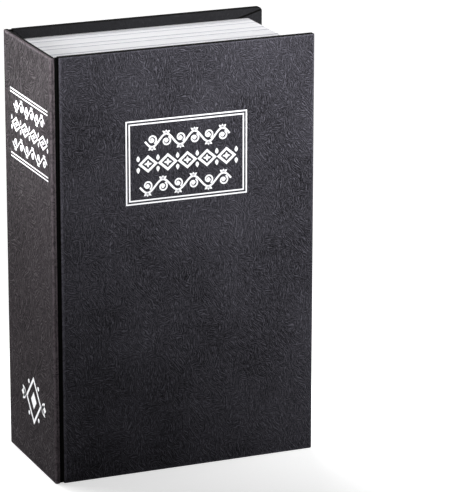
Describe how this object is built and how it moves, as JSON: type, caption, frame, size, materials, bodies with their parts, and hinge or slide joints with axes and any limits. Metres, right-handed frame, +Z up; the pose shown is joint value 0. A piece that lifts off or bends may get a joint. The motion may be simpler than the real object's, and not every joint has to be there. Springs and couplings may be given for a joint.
{
  "type": "book diversion safe",
  "caption": "Upright hard-cover book whose cover opens on a steel box with a hinged lid and a number-wheel lock.",
  "frame": {"origin": "middle of the lower edge on which the book stands, at the centre of its width and thickness", "axes": "+Z up along the spine, +X from the spine towards the fore-edge, -Y out of the front cover"},
  "size_m": [0.115, 0.057, 0.18],
  "materials": {
    "cover_cloth": "black embossed imitation leather, satin",
    "spine_cloth": "black embossed imitation leather, satin",
    "joint_cloth": "black imitation leather pressed into the groove",
    "grey_board": "bare grey board",
    "black_paper": "matt black paper",
    "page_plastic": "white moulded plastic with fine page lines",
    "hammered_paint": "dark blue-grey hammered paint on steel",
    "steel": "bright zinc-plated steel",
    "lock_plastic": "black moulded lock body",
    "dial_plastic": "cream dial with dark numbers",
    "brass": "plain turned brass"
  },
  "bodies": {
    "root": {"spine_board": "grey_board", "spine_cloth": "spine_cloth", "spine_lining": "black_paper", "back_cover_board": "grey_board", "back_cover_cloth": "cover_cloth", "back_endpaper": "black_paper", "front_joint_cloth": "joint_cloth", "back_joint_cloth": "joint_cloth", "page_block": "page_plastic", "ledge_lining": "black_paper", "safe_tray": "hammered_paint", "tray_rim": "hammered_paint", "tray_hinge_leaf": "steel", "hinge_pin": "steel", "tray_rivet_1": "steel", "tray_rivet_2": "steel", "tray_rivet_3": "steel"},
    "front_cover": {"front_cover_board": "grey_board", "front_cover_cloth": "cover_cloth", "front_endpaper": "black_paper"},
    "safe_lid": {"safe_lid": "hammered_paint", "lid_hinge_leaf": "steel", "lid_rivet_1": "steel", "lid_rivet_2": "steel", "lid_rivet_3": "steel", "lock_plate": "lock_plastic", "lock_case": "lock_plastic", "lock_screw_1": "steel", "lock_screw_2": "steel", "wheel_axle": "steel", "axle_spring": "steel", "detent_spring": "steel"},
    "number_wheel_1": {"number_wheel_1": "dial_plastic", "wheel_sleeve_1": "brass"},
    "number_wheel_2": {"number_wheel_2": "dial_plastic", "wheel_sleeve_2": "brass"},
    "number_wheel_3": {"number_wheel_3": "dial_plastic", "wheel_sleeve_3": "brass"},
    "latch": {"slide_knob": "lock_plastic", "latch_bolt": "steel", "fence_comb": "steel", "knob_screw": "steel"},
    "reset_lever": {"reset_lever": "steel"}
  },
  "joints": [
    {"name": "front_cover_hinge", "type": "hinge", "parent": "root", "child": "front_cover", "pos_m": [-0.0558, -0.028, 0.09], "axis": [0, 0, -1], "range_deg": [0, 180], "deforming": ["front_joint_cloth"]},
    {"name": "safe_lid_hinge", "type": "hinge", "parent": "root", "child": "safe_lid", "pos_m": [-0.0525, -0.0232, 0.09], "axis": [0, 0, -1], "range_deg": [0, 105]},
    {"name": "latch_slide", "type": "slide", "parent": "safe_lid", "child": "latch", "axis": [1, 0, 0], "range_m": [0, 0.00337]},
    {"name": "reset_lever_turn", "type": "hinge", "parent": "safe_lid", "child": "reset_lever", "pos_m": [0.0167, -0.0085, 0.113], "axis": [0, -1, 0], "range_deg": [0, 90]},
    {"name": "number_wheel_1_turn", "type": "hinge", "parent": "safe_lid", "child": "number_wheel_1", "pos_m": [0.0167, -0.015, 0.1064], "axis": [0, 0, 1], "continuous": true},
    {"name": "number_wheel_2_turn", "type": "hinge", "parent": "safe_lid", "child": "number_wheel_2", "pos_m": [0.0167, -0.015, 0.09915], "axis": [0, 0, 1], "continuous": true},
    {"name": "number_wheel_3_turn", "type": "hinge", "parent": "safe_lid", "child": "number_wheel_3", "pos_m": [0.0167, -0.015, 0.0919], "axis": [0, 0, 1], "continuous": true}
  ],
  "couplings": [
    {"joint": "safe_lid_hinge", "follows": "front_cover_hinge", "ratio": 0.58333}
  ]
}
